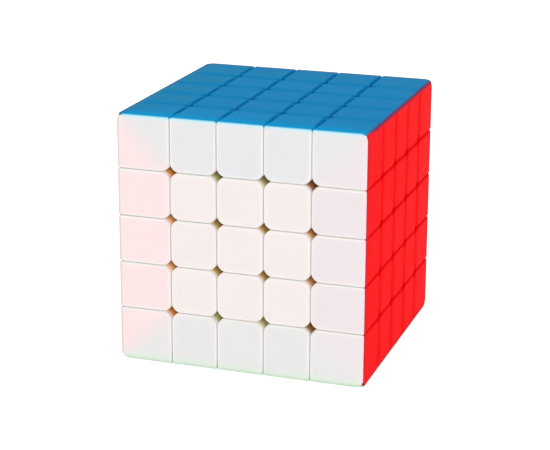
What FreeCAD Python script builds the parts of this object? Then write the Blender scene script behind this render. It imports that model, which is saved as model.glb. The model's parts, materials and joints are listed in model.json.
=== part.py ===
"""A five-layer twisty puzzle cube: 98 outer pieces that hook round a six-armed core.

Every layer boundary is a surface of revolution about the axis that the layer turns on: a flat
plane outside, a cone further in, and a wider cone for the feet. Each outer piece is what these
boundaries leave of the cube, so any layer can turn about X, Y or Z without cutting another piece.

Units are millimetres. The origin is the centre of the core, +Z is up, -Y is the white front.
"""
import FreeCAD, Part
import math
import os
from itertools import product

Vector = FreeCAD.Vector

# Driving dimensions
CUBE_EDGE = 62.0            # outer size of the cube
INNER_CUT = 5.87            # plane between the middle layer and its neighbour, from the centre
OUTER_CUT = 17.6            # plane between the second layer and the face layer
LAYER_GAP = 0.12            # free gap between two neighbouring pieces
EDGE_FILLET = 0.5           # rounding of the visible edges of each piece
CORNER_RADIUS = 2.3         # rounding of a piece's corner where four pieces meet on a face
CORNER_CUT = 52.65          # distance from the centre to the small flat on each corner of the cube
DEEP_HOLE = 6.4             # depth of that rounding where both cuts are of one kind
SHALLOW_HOLE = 5.0          # depth where an inner cut crosses an outer one
WALL = 1.3                  # wall of the coloured caps and shells
PLUG_CLEARANCE = 0.05       # between a foot's plug and the cap round it
PLUG_DEPTH = 3.5            # how far a foot's plug reaches into its cap

# Hidden mechanism
FOOT_TOP_RADIUS = 19.0      # sphere under which the feet reach sideways
FOOT_BOTTOM_RADIUS = 15.5   # sphere that closes the feet towards the core
INNER_STEM_ANGLE = 73.0     # half angle of the inner cut's cone above the feet, degrees
INNER_FOOT_ANGLE = 79.0     # the same between the feet
OUTER_STEM_ANGLE = 60.0     # half angle of the outer cut where it meets the foot sphere
OUTER_FOOT_ANGLE = 63.5     # the same between the feet
OUTER_SLOPE_START = 28.0    # distance from the axis where the outer cut leaves its plane
CENTRE_SPLIT = 24.5         # height where the caps of a face's middle pieces meet their feet
EDGE_SPLIT = 28.3           # the same along an edge piece's diagonal
CORNER_SPLIT = 34.4         # the same along a corner piece's diagonal

# Core, screws and springs, along each arm
HUB_RADIUS = 6.5
ARM_RADIUS = 3.2
ARM_END = 13.8
STEM_START = 13.9
STEM_RADIUS = 2.7
STEM_BORE = 1.6
CUP_FLOOR = 19.6
CUP_RADIUS = 3.2
SCREW_TIP = 5.0
SCREW_RADIUS = 1.3
SCREW_POINT = 0.3
SCREW_HOLE_CLEARANCE = 0.05
HEAD_START = 24.0
HEAD_HEIGHT = 2.0
HEAD_RADIUS = 2.8
HEAD_FILLET = 0.6
DRIVE_WIDTH = 0.7
DRIVE_LENGTH = 3.2
DRIVE_DEPTH = 1.2
WASHER_THICKNESS = 0.25
WASHER_RADIUS = 2.9
WASHER_HOLE = 1.7
SPRING_WIRE = 0.35
SPRING_RADIUS = 2.25
SPRING_TURNS = 4

HALF = CUBE_EDGE / 2
BEYOND = 60.0               # anything outside the cube
HALF_GAP = LAYER_GAP / 2
BLOCK_START = (-INNER_CUT - 1, 2.0, 5.0)    # where the block that holds each layer's pieces starts
ORIGIN = Vector(0, 0, 0)
UP = Vector(0, 0, 1)
AXES = (Vector(1, 0, 0), Vector(0, 1, 0), Vector(0, 0, 1))
DIAGONAL = Vector(1, 1, 1)  # a third of a turn about it takes X to Y, Y to Z and Z to X

FACES = {
    "front": Vector(0, -1, 0),
    "back": Vector(0, 1, 0),
    "left": Vector(-1, 0, 0),
    "right": Vector(1, 0, 0),
    "upper": Vector(0, 0, 1),
    "lower": Vector(0, 0, -1),
}


# --- Placing ---------------------------------------------------------------------------------------

def placed(shape, turn):
    """A copy of a shape under a turn about the origin."""
    copy = shape.copy()
    copy.Placement = FreeCAD.Placement(ORIGIN, turn) * shape.Placement
    return copy


def turn_to(shape, direction):
    """Turn a shape made along +Z so that it lies along another direction."""
    return placed(shape, FreeCAD.Rotation(UP, direction))


def quarter_turns():
    """The 24 turns that map the cube onto itself."""
    turns = []
    for steps in product(range(4), repeat=3):
        turn = FreeCAD.Rotation()
        for axis, count in zip(AXES, steps):
            turn = FreeCAD.Rotation(axis, 90 * count) * turn
        if not any(turn.isSame(other, 1e-6) for other in turns):
            turns.append(turn)
    return turns


def turn_between(layers, place, turns):
    """A turn that takes the first made piece to its place in the cube."""
    start = Vector(*layers)
    return next(turn for turn in turns if (turn * start - place).Length < 1e-6)


# --- Layer boundaries ---------------------------------------------------------------------------

def polar(radius, angle):
    """Point at a distance from the origin and an angle from the axis, as (rho, z)."""
    return radius * math.sin(math.radians(angle)), radius * math.cos(math.radians(angle))


def offset_line(start, end, offset):
    """The line through two (rho, z) points, moved towards the axis by the offset."""
    length = math.hypot(end[0] - start[0], end[1] - start[1])
    direction = ((end[0] - start[0]) / length, (end[1] - start[1]) / length)
    moved = (start[0] - direction[1] * offset, start[1] + direction[0] * offset)
    return moved, direction


def at_height(line, height):
    """Where the line reaches a height."""
    (rho, z), (along_rho, along_z) = line
    step = (height - z) / along_z
    return rho + step * along_rho, height


def at_axis(line):
    """Where the line reaches the axis."""
    (rho, z), (along_rho, along_z) = line
    return 0.0, z - rho / along_rho * along_z


def at_radius(line, radius):
    """Where the line leaves the sphere of this radius."""
    (rho, z), (along_rho, along_z) = line
    middle = rho * along_rho + z * along_z
    step = -middle + math.sqrt(middle ** 2 - rho ** 2 - z ** 2 + radius ** 2)
    return rho + step * along_rho, z + step * along_z


def boundary(cut, offset):
    """A layer boundary about +Z as (rho, z) points, moved up by the offset, and its foot line."""
    if cut == "inner":
        height = INNER_CUT + offset
        stem_line = offset_line((0, 0), polar(1, INNER_STEM_ANGLE), offset)
        foot_line = offset_line((0, 0), polar(1, INNER_FOOT_ANGLE), offset)
    else:
        height = OUTER_CUT + offset
        stem_foot = polar(FOOT_TOP_RADIUS, OUTER_STEM_ANGLE)
        stem_line = offset_line(stem_foot, (OUTER_SLOPE_START, OUTER_CUT), offset)
        foot_line = offset_line((0, 0), polar(1, OUTER_FOOT_ANGLE), offset)
    step_radius = FOOT_TOP_RADIUS - math.copysign(HALF_GAP, offset)
    points = [(BEYOND, height), at_height(stem_line, height),
              at_radius(stem_line, step_radius), at_radius(foot_line, step_radius)]
    return points, foot_line


def revolved(outline):
    """Turn a closed (rho, z) outline about +Z; the step under the feet is an arc."""
    points = [Vector(rho, 0, z) for rho, z in outline]
    edges = []
    for start, end in zip(points, points[1:] + points[:1]):
        if abs(start.Length - end.Length) < 1e-6 and start.Length < 2 * FOOT_TOP_RADIUS:
            middle = (start + end).normalize() * start.Length
            edges.append(Part.Arc(start, middle, end).toShape())
        else:
            edges.append(Part.makeLine(start, end))
    return Part.Face(Part.Wire(edges)).revolve(ORIGIN, UP, 360)


def above(cut, offset):
    """All space above a layer boundary about +Z, with the boundary moved up by the offset."""
    points, foot_line = boundary(cut, offset)
    outline = points + [at_axis(foot_line), (0, BEYOND), (BEYOND, BEYOND)]
    return revolved(outline)


def middle_band(margin):
    """All space of the middle layer about +Z, less a margin on both sides."""
    points, foot_line = boundary("inner", -margin)
    lower = [(rho, -z) for rho, z in points]
    outline = points + [at_height(foot_line, 0)] + lower[::-1]
    return revolved(outline)


def keep_layer(solid, axis, layer, margin):
    """What a solid keeps in one layer (0 middle, 1 second, 2 face) about one axis."""
    along = AXES[axis]
    if layer == 2:
        return solid.common(turn_to(above("outer", margin), along))
    if layer == 1:
        kept = solid.common(turn_to(above("inner", margin), along))
        return kept.cut(turn_to(above("outer", -margin), along))
    return solid.common(turn_to(middle_band(margin), along))


def cell(layers, margin, half):
    """The space of one outer piece, with its boundaries moved inwards by the margin."""
    low = [BLOCK_START[layer] for layer in layers]
    high = [half if layer else -BLOCK_START[0] for layer in layers]
    size = [end - start for start, end in zip(low, high)]
    solid = Part.makeBox(*size, Vector(*low))
    for axis, layer in enumerate(layers):
        solid = keep_layer(solid, axis, layer, margin)
    solid = solid.cut(Part.makeSphere(FOOT_BOTTOM_RADIUS))
    return biggest(solid)


def biggest(shape):
    """The largest solid of a shape."""
    return max(shape.Solids, key=lambda solid: solid.Volume)


# --- Rounding where four pieces meet --------------------------------------------------------------

def hole_cutter(across, along):
    """A four-pointed well on the top face at the crossing of two cuts, given by their places."""
    depth = DEEP_HOLE if abs(across) == abs(along) else SHALLOW_HOLE
    reach = CORNER_RADIUS + HALF_GAP
    corner = Vector(across - reach, along - reach, HALF - depth)
    well = Part.makeBox(2 * reach, 2 * reach, depth + 1, corner)
    rounds = [
        Part.makeCylinder(CORNER_RADIUS, depth + 1,
                          Vector(across + side * reach, along + end * reach, HALF - depth))
        for side, end in product((-1, 1), repeat=2)
    ]
    return well.cut(rounds)


def cuts_beside(layer):
    """The places of the cuts on each side of a layer."""
    return {0: (-INNER_CUT, INNER_CUT), 1: (INNER_CUT, OUTER_CUT), 2: (OUTER_CUT,)}[layer]


def face_holes(layers, face_axis):
    """The wells beside a piece on the face that looks along one axis."""
    turn = FreeCAD.Rotation(DIAGONAL, 120 * (face_axis + 1))
    across, along = (face_axis + 1) % 3, (face_axis + 2) % 3
    crossings = product(cuts_beside(layers[across]), cuts_beside(layers[along]))
    return [placed(hole_cutter(*crossing), turn) for crossing in crossings]


def visible_edges(solid):
    """The edges that lie in one of the cube's outer faces."""
    return [
        edge for edge in solid.Edges
        if any(min(vertex.Point[axis] for vertex in edge.Vertexes) > HALF - 1e-6
               and edge.BoundBox.Center[axis] > HALF - 1e-6 for axis in range(3))
    ]


# --- Outer pieces -----------------------------------------------------------------------------------

def far_half(direction, distance):
    """All space further along a direction than the distance."""
    block = Part.makeBox(2 * BEYOND, 2 * BEYOND, 2 * BEYOND, Vector(-BEYOND, -BEYOND, distance))
    return turn_to(block, direction)


def whole_piece(layers):
    """One outer piece in one lump: its cell with rounded corners and edges."""
    solid = cell(layers, HALF_GAP, HALF)
    faces = [axis for axis in range(3) if layers[axis] == 2]
    wells = [well for axis in faces for well in face_holes(layers, axis)]
    solid = biggest(solid.cut(wells + [far_half(DIAGONAL, CORNER_CUT)]))
    return solid.makeFillet(EDGE_FILLET, visible_edges(solid))


def hollow_piece(layers, direction, split):
    """The hollow coloured outside of a piece, and the foot that plugs into it."""
    whole = whole_piece(layers)
    outside = far_half(direction, split)
    cavity = cell(layers, HALF_GAP + WALL, HALF - WALL).common(outside)
    shell = biggest(whole.common(outside).cut(cavity))
    plug_space = cell(layers, HALF_GAP + WALL + PLUG_CLEARANCE, HALF - WALL - PLUG_CLEARANCE)
    plug = plug_space.common(outside).cut(far_half(direction, split + PLUG_DEPTH))
    foot = biggest(whole.cut(outside).fuse(plug).removeSplitter())
    return shell, foot


def mitred_shells(shell, face_axes):
    """Split a shell on its diagonals into one coloured part for each face."""
    parts = {}
    for axis in face_axes:
        part = shell
        for other in face_axes:
            if other != axis:
                part = part.common(far_half(AXES[axis] - AXES[other], 0))
        parts[axis] = biggest(part)
    return parts


def centre_piece():
    """The middle piece of a face: the coloured cap and the cup-shaped base that plugs into it."""
    cap, base = hollow_piece((0, 0, 2), UP, CENTRE_SPLIT)
    stem = Part.makeCylinder(STEM_RADIUS, FOOT_BOTTOM_RADIUS + 1 - STEM_START,
                             Vector(0, 0, STEM_START))
    cup = Part.makeCylinder(CUP_RADIUS, HALF, Vector(0, 0, CUP_FLOOR))
    bore = Part.makeCylinder(STEM_BORE, CUP_FLOOR, Vector(0, 0, 1))
    return cap, biggest(base.fuse(stem).cut([cup, bore]).removeSplitter())


# --- Core, screws, washers and springs -----------------------------------------------------------

def core_spider():
    """The hub with its six bored arms."""
    arm = Part.makeCylinder(ARM_RADIUS, ARM_END)
    hole = Part.makeCylinder(SCREW_RADIUS + SCREW_HOLE_CLEARANCE, ARM_END,
                             Vector(0, 0, SCREW_TIP - SCREW_RADIUS))
    arms = [turn_to(arm, direction) for direction in FACES.values()]
    holes = [turn_to(hole, direction) for direction in FACES.values()]
    hub = Part.makeSphere(HUB_RADIUS)
    return biggest(hub.fuse(arms).cut(holes).removeSplitter())


def tension_screw():
    """A pan-head screw with a cross drive, its point in the core's arm."""
    shank = Part.makeCylinder(SCREW_RADIUS, HEAD_START - SCREW_TIP, Vector(0, 0, SCREW_TIP))
    tip = Part.makeCone(SCREW_POINT, SCREW_RADIUS, SCREW_RADIUS,
                        Vector(0, 0, SCREW_TIP - SCREW_RADIUS))
    head = Part.makeCylinder(HEAD_RADIUS, HEAD_HEIGHT, Vector(0, 0, HEAD_START))
    rim = [edge for edge in head.Edges
           if edge.Closed and edge.CenterOfMass.z > HEAD_START + HEAD_HEIGHT / 2]
    head = head.makeFillet(HEAD_FILLET, rim)
    top = HEAD_START + HEAD_HEIGHT - DRIVE_DEPTH
    slots = [
        Part.makeBox(length, width, DRIVE_DEPTH, Vector(-length / 2, -width / 2, top))
        for length, width in ((DRIVE_LENGTH, DRIVE_WIDTH), (DRIVE_WIDTH, DRIVE_LENGTH))
    ]
    return biggest(shank.fuse([tip, head]).cut(slots).removeSplitter())


def spring_washer():
    """The flat ring between the spring and the floor of the centre's cup."""
    ring = Part.makeCylinder(WASHER_RADIUS, WASHER_THICKNESS, Vector(0, 0, CUP_FLOOR))
    return ring.cut(Part.makeCylinder(WASHER_HOLE, WASHER_THICKNESS, Vector(0, 0, CUP_FLOOR)))


def tension_spring():
    """The wire coil between washer and screw head: half turns that each climb half the pitch."""
    start = CUP_FLOOR + WASHER_THICKNESS + SPRING_WIRE
    half_count = 2 * SPRING_TURNS
    rise = (HEAD_START - SPRING_WIRE - start) / half_count
    half_turns = []
    for count in range(half_count):
        side = 1 - 2 * (count % 2)
        entry = Vector(side * SPRING_RADIUS, 0, start + count * rise)
        middle = Vector(0, 0, entry.z + rise / 2)
        along = Vector(0, side, 0)
        wire_end = Part.Face(Part.Wire(Part.Circle(entry, along, SPRING_WIRE).toShape()))
        half_turns.append(wire_end.revolve(middle, (entry - middle).cross(along), 180))
    return biggest(half_turns[0].fuse(half_turns[1:]))


def face_of(direction):
    """The name of the face that a direction points at."""
    return next(name for name, normal in FACES.items() if (normal - direction).Length < 1e-6)


def layer_prefix(place):
    """The name of the horizontal layer that a piece lies in."""
    names = {2: "upper_face", 1: "upper_slice", 0: "middle_slice",
             -1: "lower_slice", -2: "lower_face"}
    return names[round(place.z)]


def coloured_node(kind, place, face):
    """The node that a coloured part belongs to."""
    prefix = layer_prefix(place)
    if face in ("upper", "lower"):
        return f"{prefix}_{kind}"
    if prefix in ("upper_face", "lower_face"):
        return f"{prefix}_{face}_side_shells"
    if kind == "centre_cap":
        return f"{face}_centre_cap"
    if kind in ("t_centre_caps", "x_centre_caps"):
        return f"{prefix}_{face}_centre_caps"
    return f"{prefix}_{face}_edge_shells"


# --- The cube ------------------------------------------------------------------------------------

def made_pieces():
    """Each kind of outer piece once: its layers, its coloured parts by axis, its hidden part."""
    edge_way = Vector(1, 0, 1)
    corner_way = Vector(1, 1, 1)
    cap, base = centre_piece()
    pieces = {"centre_cap": ((0, 0, 2), {2: cap}, base)}
    for kind, layers in (("t_centre_caps", (1, 0, 2)), ("x_centre_caps", (1, 1, 2))):
        shell, foot = hollow_piece(layers, UP, CENTRE_SPLIT)
        pieces[kind] = (layers, {2: shell}, foot)
    for kind, layers in (("middle_edge_shells", (2, 0, 2)), ("wing_edge_shells", (2, 1, 2))):
        shell, foot = hollow_piece(layers, edge_way, EDGE_SPLIT)
        pieces[kind] = (layers, mitred_shells(shell, (0, 2)), foot)
    shell, foot = hollow_piece((2, 2, 2), corner_way, CORNER_SPLIT)
    pieces["corner_shells"] = ((2, 2, 2), mitred_shells(shell, (0, 1, 2)), foot)
    return pieces


def outer_places(layers):
    """Every place in the cube that a kind of piece takes."""
    wanted = sorted(layers)
    return [
        Vector(*place) for place in product(range(-2, 3), repeat=3)
        if sorted(abs(step) for step in place) == wanted
    ]


def build():
    """All nodes by name, each a list of solids."""
    nodes = {}
    turns = quarter_turns()
    for kind, (layers, coloured, hidden) in made_pieces().items():
        for place in outer_places(layers):
            turn = turn_between(layers, place, turns)
            for axis, part in coloured.items():
                face = face_of(turn * AXES[axis])
                nodes.setdefault(coloured_node(kind, place, face), []).append(placed(part, turn))
            if kind != "centre_cap":
                name = f"{layer_prefix(place)}_feet"
            elif layer_prefix(place) == "middle_slice":
                name = "side_centre_bases"
            else:
                name = f"{layer_prefix(place)}_centre_base"
            nodes.setdefault(name, []).append(placed(hidden, turn))
    nodes["core_spider"] = [core_spider()]
    for name, shape in (("tension_screws", tension_screw()), ("spring_washers", spring_washer()),
                        ("tension_springs", tension_spring())):
        nodes[name] = [turn_to(shape, direction) for direction in FACES.values()]
    return nodes


os.makedirs("parts", exist_ok=True)
for node_name, solids in build().items():
    body = solids[0] if len(solids) == 1 else Part.makeCompound(solids)
    body.exportStep(f"parts/{node_name}.step")
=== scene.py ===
"""Looks of the twisty puzzle cube: moulded plastics for every piece, a pale floor, soft light.

Units are metres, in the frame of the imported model: +X is the red face, -Y the white front, +Z
the blue top. Every piece of the object is a CAD node; this script gives the nodes their surfaces.
"""
import bpy
import json
import math
from mathutils import Matrix, Vector


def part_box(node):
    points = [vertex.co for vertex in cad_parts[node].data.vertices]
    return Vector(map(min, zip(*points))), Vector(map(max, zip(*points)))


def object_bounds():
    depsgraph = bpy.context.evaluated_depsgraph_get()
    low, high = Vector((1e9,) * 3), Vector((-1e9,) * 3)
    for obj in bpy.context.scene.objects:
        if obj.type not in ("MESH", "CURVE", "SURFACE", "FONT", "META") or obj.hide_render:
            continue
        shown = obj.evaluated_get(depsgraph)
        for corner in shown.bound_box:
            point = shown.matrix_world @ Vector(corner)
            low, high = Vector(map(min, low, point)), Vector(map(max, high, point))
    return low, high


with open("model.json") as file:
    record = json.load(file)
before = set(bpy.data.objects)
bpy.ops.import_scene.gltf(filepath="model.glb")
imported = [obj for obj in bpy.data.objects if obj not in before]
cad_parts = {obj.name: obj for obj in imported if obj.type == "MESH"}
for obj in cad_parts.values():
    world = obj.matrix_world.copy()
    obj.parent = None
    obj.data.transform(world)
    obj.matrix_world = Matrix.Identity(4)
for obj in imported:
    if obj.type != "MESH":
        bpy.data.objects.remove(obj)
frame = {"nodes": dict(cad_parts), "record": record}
CAD_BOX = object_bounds()


# --- Sizes -----------------------------------------------------------------------------------

# The object, from the frame: its box, half its width, and the two cuts on each side of the middle
LOW, HIGH = CAD_BOX
CENTRE = (LOW + HIGH) / 2
HALF = (HIGH.x - LOW.x) / 2
INNER_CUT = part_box("front_centre_cap")[1].x
OUTER_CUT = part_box("upper_slice_front_centre_caps")[1].x

# Camera: angles in degrees, lens and sensor in millimetres, shift as a share of the width
AZIMUTH = 18.209
ELEVATION = 16.887
ROLL = 0.302
DISTANCE = 0.43512
LENS = 112.535
SENSOR = 36.0
SHIFT = (-0.01029, -0.01816)
CLIP = (0.01, 20.0)

# Depths below a face: the end of its rounding, the start and end of the change from its outside
# colour to its walls' colour, and the end of a well
FILLET_DEPTH = 0.0004
WALL_START = 0.0007
WALL_DEPTH = 0.0022
HOLE_DEPTH = 0.0058

# Distances on a face: the softness of a change between tints, and of the diagonal between two
# sides of the outer ring; how far inside the outer cut the wells take the ring's tint
TINT_BLUR = 0.0004
SPLIT_BLUR = 0.0055
HOLE_REACH = 0.003

# Distances from the crossing of two seams: all well up to the first, all gap from the second
WELL_INNER = 0.0024
WELL_OUTER = 0.0034

# Distances from a seam: flat side of a piece up to the first, its rounded corner from the second
SEAM_FLAT = 0.00008
SEAM_CLEAR = 0.0002

# Distances from a piece's rim for the painted lighter band: over its wall up to the first, clear
# of it from the second
OVER_WALL = 0.00104
OFF_WALL = 0.00195

# The part of a tint's width, from its edge or seam, that has its full colour
EDGE_CORE = 0.3
SEAM_CORE = 0.5


# --- Textures and finishes ---------------------------------------------------------------------

# Scales of the plastics' noises, in cycles a metre
CLOUD_SCALE = 95.0
RIPPLE_SCALE = 140.0
SMUDGE_SCALE = 260.0
GRAIN_SCALE = 9000.0

# Ranges of a noise's value over which a look changes, from quick to slow
QUICK = (0.3, 0.7)
STEADY = (0.25, 0.75)
SLOW = (0.2, 0.8)

# Levels of a wall's painted light and shade: lighter at the rounding, darker at the end of a well,
# and unchanged
WALL_TOP_SHADE = 1.25
WALL_END_SHADE = 0.15
UNSHADED = (1.0, 1.0, 1.0, 1.0)

# Plastic: roughness from clean to smudged, and what the grain adds to it; the grain's height
# beside the ripple's; relief; and how light enters and scatters
PLASTIC_ROUGHNESS = (0.30, 0.38)
GRAIN_ROUGHNESS = 0.04
GRAIN_HEIGHT = 0.15
PLASTIC_BUMP = (0.25, 0.00004)
PLASTIC_IOR = 1.45
SCATTER_RADIUS = (1.0, 0.8, 0.6)
SCATTER_SCALE = 0.0012

# Bearing plastic of the hidden mechanism
BEARING_CLOUD_SCALE = 180.0
BEARING_GRAIN_SCALE = 6000.0
BEARING_ROUGHNESS = (0.38, 0.5)
BEARING_BUMP = (0.2, 0.00003)

# Steel: what its marks add to its roughness, and their relief
MARK_ROUGHNESS = 0.12
MARK_BUMP = (0.15, 0.00002)

# Smooth shading: the distance at which points join, and the angle, in degrees, of a sharp edge
WELD_DISTANCE = 0.000002
SHARP_ANGLE = 35

# How bright a white surface is under this light; a tint is the look wanted under it
BRIGHTNESS = 1.2


# --- Studio ------------------------------------------------------------------------------------

# Light table: size, distance below the cube, noise scale, range of grey, finish, and own light
FLOOR_SIZE = 8.0
FLOOR_GAP = 0.00002
FLOOR_SCALE = 3.0
FLOOR_DARK = (0.50, 0.50, 0.50, 1)
FLOOR_LIGHT = (0.52, 0.52, 0.52, 1)
FLOOR_ROUGHNESS = 0.9
FLOOR_GLOSS = 0.1
FLOOR_GLOW = 0.7

# Level of the even light all round, and the softboxes: place, width, height and power in watts
STUDIO_LEVEL = 0.75
SOFTBOXES = {
    "key": ((-0.5, -0.9, 0.9), 1.2, 1.2, 6.0),
    "side": ((1.2, -0.3, 0.5), 1.0, 1.0, 6.0),
    "top": ((0.0, 0.2, 1.4), 1.5, 1.5, 6.0),
}


# --- Node helpers ------------------------------------------------------------------------------

def linear(red, green, blue):
    """A linear colour from sRGB display values of 0 to 255."""
    def convert(value):
        value /= 255
        return value / 12.92 if value <= 0.04045 else ((value + 0.055) / 1.055) ** 2.4
    return (convert(red), convert(green), convert(blue), 1.0)


def lit(red, green, blue):
    """The linear surface colour that looks like these display values under this scene's light."""
    return tuple(value / BRIGHTNESS for value in linear(red, green, blue)[:3]) + (1.0,)


class Surface:
    """One material's node tree, built with short calls."""

    def __init__(self, name):
        self.material = bpy.data.materials.new(name)
        self.material.use_nodes = True
        self.tree = self.material.node_tree
        self.shader = self.tree.nodes["Principled BSDF"]
        self.place = self.node("ShaderNodeTexCoord").outputs["Object"]
        self.axes = list(self.node("ShaderNodeSeparateXYZ", Vector=self.place).outputs)

    def node(self, kind, **inputs):
        made = self.tree.nodes.new(kind)
        for name, value in inputs.items():
            self.put(made.inputs[name], value)
        return made

    def put(self, socket, value):
        if isinstance(value, bpy.types.NodeSocket):
            self.tree.links.new(value, socket)
        else:
            socket.default_value = value

    def shade(self, values):
        for name, value in values.items():
            self.put(self.shader.inputs[name], value)

    def calc(self, operation, *values):
        made = self.tree.nodes.new("ShaderNodeMath")
        made.operation = operation
        for socket, value in zip(made.inputs, values):
            self.put(socket, value)
        return made.outputs[0]

    def step(self, value, start, end, low=0.0, high=1.0):
        made = self.tree.nodes.new("ShaderNodeMapRange")
        made.interpolation_type = "SMOOTHSTEP"
        for name, item in (("Value", value), ("From Min", start), ("From Max", end),
                           ("To Min", low), ("To Max", high)):
            self.put(made.inputs[name], item)
        return made.outputs["Result"]

    def mix(self, factor, one, two, blend="MIX"):
        made = self.tree.nodes.new("ShaderNodeMix")
        made.data_type = "RGBA"
        made.blend_type = blend
        for socket, value in zip((made.inputs[0], made.inputs[6], made.inputs[7]),
                                 (factor, one, two)):
            self.put(socket, value)
        return made.outputs[2]

    def noise(self, scale, detail=2.0, roughness=0.5):
        made = self.node("ShaderNodeTexNoise", Vector=self.place, Scale=scale, Detail=detail,
                         Roughness=roughness)
        return made.outputs["Fac"]

    def grey(self, level):
        made = self.node("ShaderNodeCombineColor", Red=level, Green=level, Blue=level)
        return made.outputs["Color"]

    def bump(self, height, strength, distance):
        made = self.node("ShaderNodeBump", Height=height, Strength=strength, Distance=distance)
        return made.outputs["Normal"]


# --- Plastics ----------------------------------------------------------------------------------

class Face:
    """Where a point lies on a face of the cube: across it, along it, below it, from its seams."""

    def __init__(self, surface, axis, sign):
        self.axis = axis
        self.across, self.along = [surface.axes[other] for other in range(3) if other != axis]
        height = surface.calc("MULTIPLY", surface.axes[axis], sign)
        self.depth = surface.calc("SUBTRACT", HALF, height)
        self.away_across = surface.calc("ABSOLUTE", self.across)
        self.away_along = surface.calc("ABSOLUTE", self.along)
        self.furthest = surface.calc("MAXIMUM", self.away_across, self.away_along)
        self.nearest = surface.calc("MINIMUM", self.away_across, self.away_along)
        self.seams = {"across": seam_distance(surface, self.away_across),
                      "along": seam_distance(surface, self.away_along)}
        self.crossing = surface.calc("MAXIMUM", *self.seams.values())
        edge = surface.calc("SUBTRACT", HALF, self.furthest)
        self.beside = surface.calc("MINIMUM", *self.seams.values())
        self.rim = surface.calc("MINIMUM", self.beside, edge)


def seam_distance(surface, away):
    """Distance across a face to the nearest seam between two pieces."""
    gaps = [surface.calc("ABSOLUTE", surface.calc("SUBTRACT", away, line))
            for line in (INNER_CUT, OUTER_CUT)]
    return surface.calc("MINIMUM", *gaps)


def layer_number(surface, value, away):
    """The layer that a point lies in, from -2 to 2, along one direction of a face."""
    steps = surface.calc("ADD", surface.calc("GREATER_THAN", away, INNER_CUT),
                         surface.calc("GREATER_THAN", away, OUTER_CUT))
    return surface.calc("MULTIPLY", surface.calc("SIGN", value), steps)


def ring_tint(surface, face, tints, start, lean, blur):
    """A face's tint by region: its middle, and from start out a ring of painted light and shade,
    tinted by the colours that its neighbours bleed onto it.

    At the ring's corners the sides across win over the sides along by the distance lean.
    """
    side = surface.step(face.across, -TINT_BLUR, TINT_BLUR)
    end = surface.step(face.along, -TINT_BLUR, TINT_BLUR)
    beside = surface.mix(side, tints["low_across"], tints["high_across"])
    above = surface.mix(end, tints["low_along"], tints["high_along"])
    lead = surface.calc("ADD", surface.calc("SUBTRACT", face.away_across, face.away_along), lean)
    ring = surface.mix(surface.step(lead, -blur, blur), above, beside)
    outer = surface.step(face.furthest, start - TINT_BLUR, start + TINT_BLUR)
    return surface.mix(outer, tints["middle"], ring)


def paint_edge_highlights_and_shade(surface, colour, face, edges):
    """A face's colour with narrow tints along its outer edges, where it meets its neighbours:
    painted highlights and painted shade.
    """
    # Painted highlight and shade: a narrow tint along each outer edge.
    for value, place in ((face.along, "along"), (face.across, "across")):
        for sign, end in ((-1, "low"), (1, "high")):
            reach = surface.calc("MULTIPLY", value, sign)
            for tint, width in edges[f"{end}_{place}"]:
                near = surface.step(reach, HALF - width, HALF - EDGE_CORE * width)
                colour = surface.mix(near, colour, lit(*tint))
    return colour


def paint_seam_shade_and_highlights(surface, colour, face, seams):
    """A face's colour with a tint of painted shade and highlight beside the seams of each of its
    two directions.
    """
    # Painted shade and highlight: a tint beside each seam.
    for place, distance in face.seams.items():
        tint, reach = seams[place]
        near = surface.step(distance, SEAM_CORE * reach, reach, 1.0, 0.0)
        colour = surface.mix(near, colour, lit(*tint))
    return colour


def unevenness_and_painted_light(surface, face, patch, rim):
    """Faint clouding and a slightly different level on each piece, and painted light: lighter
    bands over walls.
    """
    number = surface.node("ShaderNodeCombineXYZ",
                          X=layer_number(surface, face.across, face.away_across),
                          Y=layer_number(surface, face.along, face.away_along),
                          Z=float(face.axis)).outputs["Vector"]
    random = surface.node("ShaderNodeTexWhiteNoise", Vector=number).outputs["Value"]
    cloud = surface.noise(CLOUD_SCALE, detail=3.0)
    level = surface.calc("ADD", surface.calc("MULTIPLY", cloud, 2 * patch),
                         surface.calc("MULTIPLY", random, patch))
    # Both noises have a mean of a half, so this keeps the mean level at 1
    level = surface.calc("ADD", level, 1.0 - 1.5 * patch)
    # Painted light: a lighter band where the piece's walls lie behind the face.
    painted_light_over_wall = surface.step(face.rim, OVER_WALL, OFF_WALL, rim, 0.0)
    return surface.grey(surface.calc("ADD", level, painted_light_over_wall))


def outside_colour(surface, face, tints, edges, seams, patch, rim):
    """The colour of a face's outside, with painted light and shade in its ring, along its edges
    and beside its seams.
    """
    colour = ring_tint(surface, face, tints, OUTER_CUT, 0.0, SPLIT_BLUR)
    colour = surface.mix(1.0, colour, unevenness_and_painted_light(surface, face, patch, rim), "MULTIPLY")
    colour = paint_seam_shade_and_highlights(surface, colour, face, seams)
    return paint_edge_highlights_and_shade(surface, colour, face, edges)


def wall_colour(surface, face, tints, gap, corner_well_shade, end_shade):
    """The colour of a face's walls, painted light and shade: tinted in the wells, plainer in the
    gaps, lighter at the rounding, darker inwards and in the corner wells.
    """
    start = OUTER_CUT - HOLE_REACH
    colour = ring_tint(surface, face, tints, start, 2 * HOLE_REACH, TINT_BLUR)
    # Painted shade: the corner wells are multiplied by darker colours.
    corner = surface.step(face.nearest, start - TINT_BLUR, start + TINT_BLUR)
    side = surface.step(face.across, -TINT_BLUR, TINT_BLUR)
    colour = surface.mix(corner, colour, surface.mix(side, *corner_well_shade), "MULTIPLY")
    near_crossing = surface.step(face.crossing, WELL_INNER, WELL_OUTER, 1.0, 0.0)
    off_flat = surface.step(face.beside, SEAM_FLAT, SEAM_CLEAR)
    in_well = surface.calc("MULTIPLY", near_crossing, off_flat)
    colour = surface.mix(in_well, lit(*gap), colour)
    # Painted shade: lighter at the rounding and darker down the walls to the end of a well.
    shade = surface.step(face.depth, FILLET_DEPTH, HOLE_DEPTH, WALL_TOP_SHADE, end_shade)
    return surface.mix(1.0, colour, surface.grey(shade), "MULTIPLY")


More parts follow.
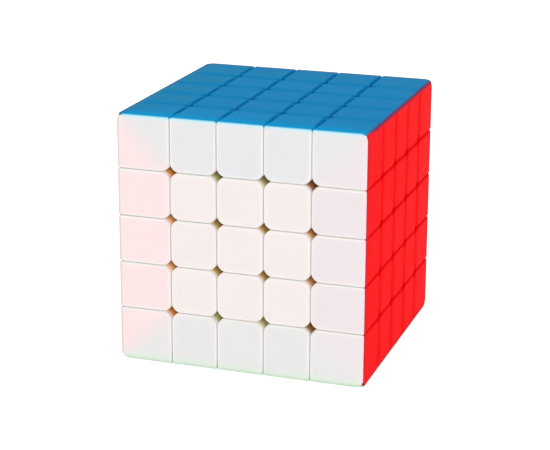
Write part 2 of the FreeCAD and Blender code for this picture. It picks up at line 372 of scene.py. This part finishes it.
def plastic(name, side, face_tints, wall_tints, edges, seams, patch=0.02, rim=0.02, gloss=0.001,
            painted_glow=0.0, subsurface=0.0, end_shade=WALL_END_SHADE, corner_well_shade=(UNSHADED, UNSHADED)):
    """Satin moulded plastic of one face's caps and shells, with painted light and shade: tinted by
    the colours that what lies beside and behind it bleeds onto it.

    side is the face's axis and sign. patch and rim are how far its level varies by place and, as
    painted light, over walls. end_shade is the level of painted shade at the end of a well, and
    the last argument holds the colours of painted shade that multiply the low and high corner
    wells.
    """
    surface = Surface(name)
    face = Face(surface, *side)
    outside = outside_colour(surface, face, face_tints, edges, seams, patch, rim)
    wall = wall_colour(surface, face, wall_tints, seams["gap"], corner_well_shade, end_shade)
    colour = surface.mix(surface.step(face.depth, WALL_START, WALL_DEPTH), outside, wall)

    grain = surface.noise(GRAIN_SCALE)
    smudge = surface.noise(SMUDGE_SCALE, detail=4.0, roughness=0.6)
    rough = surface.calc("ADD", surface.step(smudge, *QUICK, *PLASTIC_ROUGHNESS),
                         surface.calc("MULTIPLY", grain, GRAIN_ROUGHNESS))
    ripple = surface.calc("ADD", surface.calc("MULTIPLY", grain, GRAIN_HEIGHT),
                          surface.noise(RIPPLE_SCALE))
    surface.shade({
        "Base Color": colour,
        "Roughness": rough,
        "Normal": surface.bump(ripple, *PLASTIC_BUMP),
        "IOR": PLASTIC_IOR,
        "Specular IOR Level": gloss,
        "Subsurface Weight": subsurface,
        "Subsurface Radius": SCATTER_RADIUS,
        "Subsurface Scale": SCATTER_SCALE,
    })
    # Painted light: below the rounding the walls give off light of their own colour, standing in
    # for light through the plastic.
    if painted_glow:
        light = surface.step(face.depth, FILLET_DEPTH, WALL_START, 0.0, painted_glow)
        surface.shade({"Emission Color": colour, "Emission Strength": light})
    return surface.material


def tints(middle, low_across, high_across, low_along, high_along):
    """The five tints of a face, from display values."""
    named = dict(middle=middle, low_across=low_across, high_across=high_across,
                 low_along=low_along, high_along=high_along)
    return {place: lit(*values) for place, values in named.items()}


def edge_highlight_and_shade_tints(low_across, high_across, low_along, high_along):
    """For each of a face's four outer edges, display tints of painted highlight and shade, with
    their widths.
    """
    return dict(low_across=low_across, high_across=high_across, low_along=low_along,
                high_along=high_along)


def seam_shade_and_highlight_tints(gap, across, along):
    """The display tint painted inside the gaps, and a tint of painted shade and highlight with its
    reach beside each direction's seams.
    """
    return dict(gap=gap, across=across, along=along)


def white_plastic():
    """The front: translucent white, with painted light and shade: tinted by the orange, red, blue
    and green beside it, warm in its wells and darker in its corner wells.
    """
    face = tints((240, 232, 230), (247, 226, 226), (236, 227, 229), (230, 230, 229),
                 (229, 229, 230))
    wall = tints((226, 196, 120), (255, 208, 154), (240, 190, 132), (218, 214, 158),
                 (214, 208, 150))
    edges = edge_highlight_and_shade_tints([((224, 202, 203), 0.0008)], [((252, 224, 231), 0.0009)],
                       [((227, 235, 226), 0.0030), ((206, 226, 202), 0.0012)],
                       [((198, 236, 247), 0.0010)])
    seams = seam_shade_and_highlight_tints((216, 216, 212), ((242, 238, 236), 0.0007), ((242, 238, 236), 0.0007))
    return plastic("white_plastic", (1, -1), face, wall, edges, seams, patch=0.008, rim=0.012,
                   gloss=0.02, painted_glow=0.2, subsurface=0.35, end_shade=0.4,
                   corner_well_shade=((0.95, 0.76, 0.48, 1.0), (0.70, 0.62, 0.60, 1.0)))


def blue_plastic():
    """The top: blue, a little lighter beside the white front, as painted light."""
    face = tints((32, 129, 182), (36, 129, 174), (34, 128, 180), (33, 134, 187), (34, 128, 178))
    wall = tints((0, 92, 170), (0, 88, 158), (0, 84, 156), (0, 94, 168), (0, 88, 158))
    edges = edge_highlight_and_shade_tints([((56, 121, 159), 0.0022)],
                       [((50, 114, 164), 0.0012), ((70, 82, 126), 0.0006)],
                       [((14, 143, 198), 0.0060), ((98, 196, 230), 0.0006)],
                       [((56, 120, 160), 0.0034)])
    seams = seam_shade_and_highlight_tints((0, 112, 176), ((6, 112, 170), 0.0010), ((24, 127, 180), 0.0030))
    return plastic("blue_plastic", (2, 1), face, wall, edges, seams, painted_glow=0.4)


def red_plastic():
    """The right side: bright red."""
    face = tints((247, 28, 31), (249, 25, 29), (246, 31, 35), (246, 27, 31), (247, 29, 31))
    wall = tints((210, 4, 10), (214, 6, 12), (206, 6, 10), (204, 6, 10), (200, 4, 14))
    edges = edge_highlight_and_shade_tints([((236, 28, 32), 0.0050), ((198, 38, 46), 0.0009)],
                       [((212, 42, 48), 0.0030), ((188, 54, 58), 0.0010)],
                       [((218, 38, 42), 0.0020), ((192, 52, 56), 0.0009)],
                       [((216, 38, 44), 0.0020), ((134, 44, 78), 0.0010)])
    seams = seam_shade_and_highlight_tints((216, 2, 8), ((240, 20, 22), 0.0028), ((236, 12, 18), 0.0009))
    return plastic("red_plastic", (0, 1), face, wall, edges, seams, painted_glow=0.3)


def orange_plastic():
    """The left side: orange, with a pale edge beside the white front."""
    face = tints((250, 120, 26), (252, 128, 36), (250, 121, 22), (246, 116, 30), (247, 118, 27))
    wall = tints((196, 76, 4), (200, 86, 8), (196, 80, 4), (184, 72, 6), (180, 66, 8))
    edges = edge_highlight_and_shade_tints([((250, 224, 212), 0.0013)], [((240, 126, 20), 0.0006)],
                       [((226, 110, 40), 0.0006)], [((230, 112, 48), 0.0006)])
    seams = seam_shade_and_highlight_tints((214, 84, 4), ((228, 96, 10), 0.0007), ((228, 96, 10), 0.0007))
    return plastic("orange_plastic", (0, -1), face, wall, edges, seams, gloss=0.01)


def yellow_plastic():
    """The back: yellow, made warmer beside the orange and red by painted light."""
    face = tints((250, 222, 32), (251, 217, 31), (250, 215, 33), (244, 220, 38), (244, 222, 33))
    wall = tints((202, 168, 6), (204, 154, 6), (202, 148, 8), (186, 168, 8), (184, 166, 12))
    edges = edge_highlight_and_shade_tints([((246, 190, 30), 0.0008)], [((246, 186, 36), 0.0008)],
                       [((214, 212, 50), 0.0006)], [((220, 214, 70), 0.0006)])
    seams = seam_shade_and_highlight_tints((214, 180, 8), ((232, 198, 14), 0.0007), ((232, 198, 14), 0.0007))
    return plastic("yellow_plastic", (1, 1), face, wall, edges, seams, gloss=0.01)


def green_plastic():
    """The underside: green, with a pale edge beside the white front."""
    face = tints((40, 168, 72), (51, 168, 67), (50, 164, 67), (56, 177, 88), (46, 169, 67))
    wall = tints((8, 116, 40), (18, 116, 32), (20, 110, 32), (20, 126, 60), (12, 118, 32))
    edges = edge_highlight_and_shade_tints([((50, 150, 60), 0.0006)], [((54, 146, 60), 0.0006)],
                       [((196, 228, 194), 0.0012)], [((50, 156, 56), 0.0006)])
    seams = seam_shade_and_highlight_tints((12, 124, 42), ((16, 142, 52), 0.0007), ((16, 142, 52), 0.0007))
    return plastic("green_plastic", (2, -1), face, wall, edges, seams, gloss=0.01)


# --- Hidden parts ------------------------------------------------------------------------------

def mechanism_plastic():
    """Warm grey bearing plastic of the core, the centre bases and the feet."""
    surface = Surface("mechanism_plastic")
    tone = surface.step(surface.noise(BEARING_CLOUD_SCALE, detail=3.0), *STEADY)
    base = surface.mix(tone, linear(150, 146, 132), linear(170, 164, 146))
    grain = surface.noise(BEARING_GRAIN_SCALE)
    surface.shade({
        "Base Color": base,
        "Roughness": surface.step(grain, *SLOW, *BEARING_ROUGHNESS),
        "Normal": surface.bump(grain, *BEARING_BUMP),
    })
    return surface.material


def steel(name, dark, light, roughness, scale):
    """Plated or drawn steel, with fine marks at a scale in cycles a metre."""
    surface = Surface(name)
    mark = surface.noise(scale, detail=4.0, roughness=0.7)
    surface.shade({
        "Base Color": surface.mix(surface.step(mark, *QUICK), linear(*dark), linear(*light)),
        "Metallic": 1.0,
        "Roughness": surface.step(mark, *SLOW, roughness, roughness + MARK_ROUGHNESS),
        "Normal": surface.bump(mark, *MARK_BUMP),
    })
    return surface.material


MATERIALS = {
    "white_plastic": white_plastic(),
    "blue_plastic": blue_plastic(),
    "red_plastic": red_plastic(),
    "orange_plastic": orange_plastic(),
    "yellow_plastic": yellow_plastic(),
    "green_plastic": green_plastic(),
    "mechanism_plastic": mechanism_plastic(),
    "screw_steel": steel("screw_steel", (168, 170, 176), (206, 208, 212), 0.28, 2500.0),
    "spring_steel": steel("spring_steel", (140, 142, 146), (186, 188, 192), 0.22, 4000.0),
}


def finish_node(node, material):
    """Give a CAD node its material, and smooth shading across its fillets."""
    node.data.materials.clear()
    node.data.materials.append(material)
    for polygon in node.data.polygons:
        polygon.use_smooth = True
    weld = node.modifiers.new("weld", "WELD")
    weld.merge_threshold = WELD_DISTANCE
    split = node.modifiers.new("sharp_edges", "EDGE_SPLIT")
    split.split_angle = math.radians(SHARP_ANGLE)
    node.modifiers.new("face_normals", "WEIGHTED_NORMAL")


for part in frame["record"]["subparts"]:
    finish_node(frame["nodes"][part["node"]], MATERIALS[part["material_slot"]])


# --- Floor, light and camera -------------------------------------------------------------------

def floor():
    """A pale light table under the cube, which leaves hardly any shadow."""
    bpy.ops.mesh.primitive_plane_add(size=FLOOR_SIZE, location=(0, 0, LOW.z - FLOOR_GAP))
    plane = bpy.context.object
    plane.name = "floor"
    surface = Surface("floor_paper")
    tone = surface.step(surface.noise(FLOOR_SCALE), *QUICK)
    surface.shade({
        "Base Color": surface.mix(tone, FLOOR_DARK, FLOOR_LIGHT),
        "Roughness": FLOOR_ROUGHNESS,
        "Specular IOR Level": FLOOR_GLOSS,
        "Emission Color": (1.0, 1.0, 1.0, 1.0),
        "Emission Strength": FLOOR_GLOW,
    })
    plane.data.materials.append(surface.material)


def softbox(name, place, width, height, power):
    """A large area light that faces the cube."""
    data = bpy.data.lights.new(name, "AREA")
    data.shape = "RECTANGLE"
    data.size, data.size_y = width, height
    data.energy = power
    lamp = bpy.data.objects.new(name, data)
    bpy.context.scene.collection.objects.link(lamp)
    lamp.location = place
    lamp.rotation_euler = (CENTRE - Vector(place)).to_track_quat("-Z", "Y").to_euler()


def surroundings():
    """An even pale studio round the cube."""
    world = bpy.data.worlds.new("studio")
    bpy.context.scene.world = world
    world.use_nodes = True
    background = world.node_tree.nodes["Background"]
    background.inputs["Color"].default_value = (1, 1, 1, 1)
    background.inputs["Strength"].default_value = STUDIO_LEVEL


def camera():
    """The camera at the reference viewing angle."""
    data = bpy.data.cameras.new("camera")
    data.sensor_width = SENSOR
    data.lens = LENS
    data.shift_x, data.shift_y = SHIFT
    data.clip_start, data.clip_end = CLIP
    made = bpy.data.objects.new("camera", data)
    bpy.context.scene.collection.objects.link(made)
    around, above = math.radians(AZIMUTH), math.radians(ELEVATION)
    back = Vector((math.sin(around) * math.cos(above), -math.cos(around) * math.cos(above),
                   math.sin(above)))
    level = (-back).to_track_quat("-Z", "Y").to_matrix()
    made.location = CENTRE + back * DISTANCE
    made.rotation_euler = (level @ Matrix.Rotation(math.radians(ROLL), 3, "Z")).to_euler()
    bpy.context.scene.camera = made


floor()
surroundings()
for box_name, settings in SOFTBOXES.items():
    softbox(box_name, *settings)
camera()
bpy.context.scene.view_settings.view_transform = "Standard"
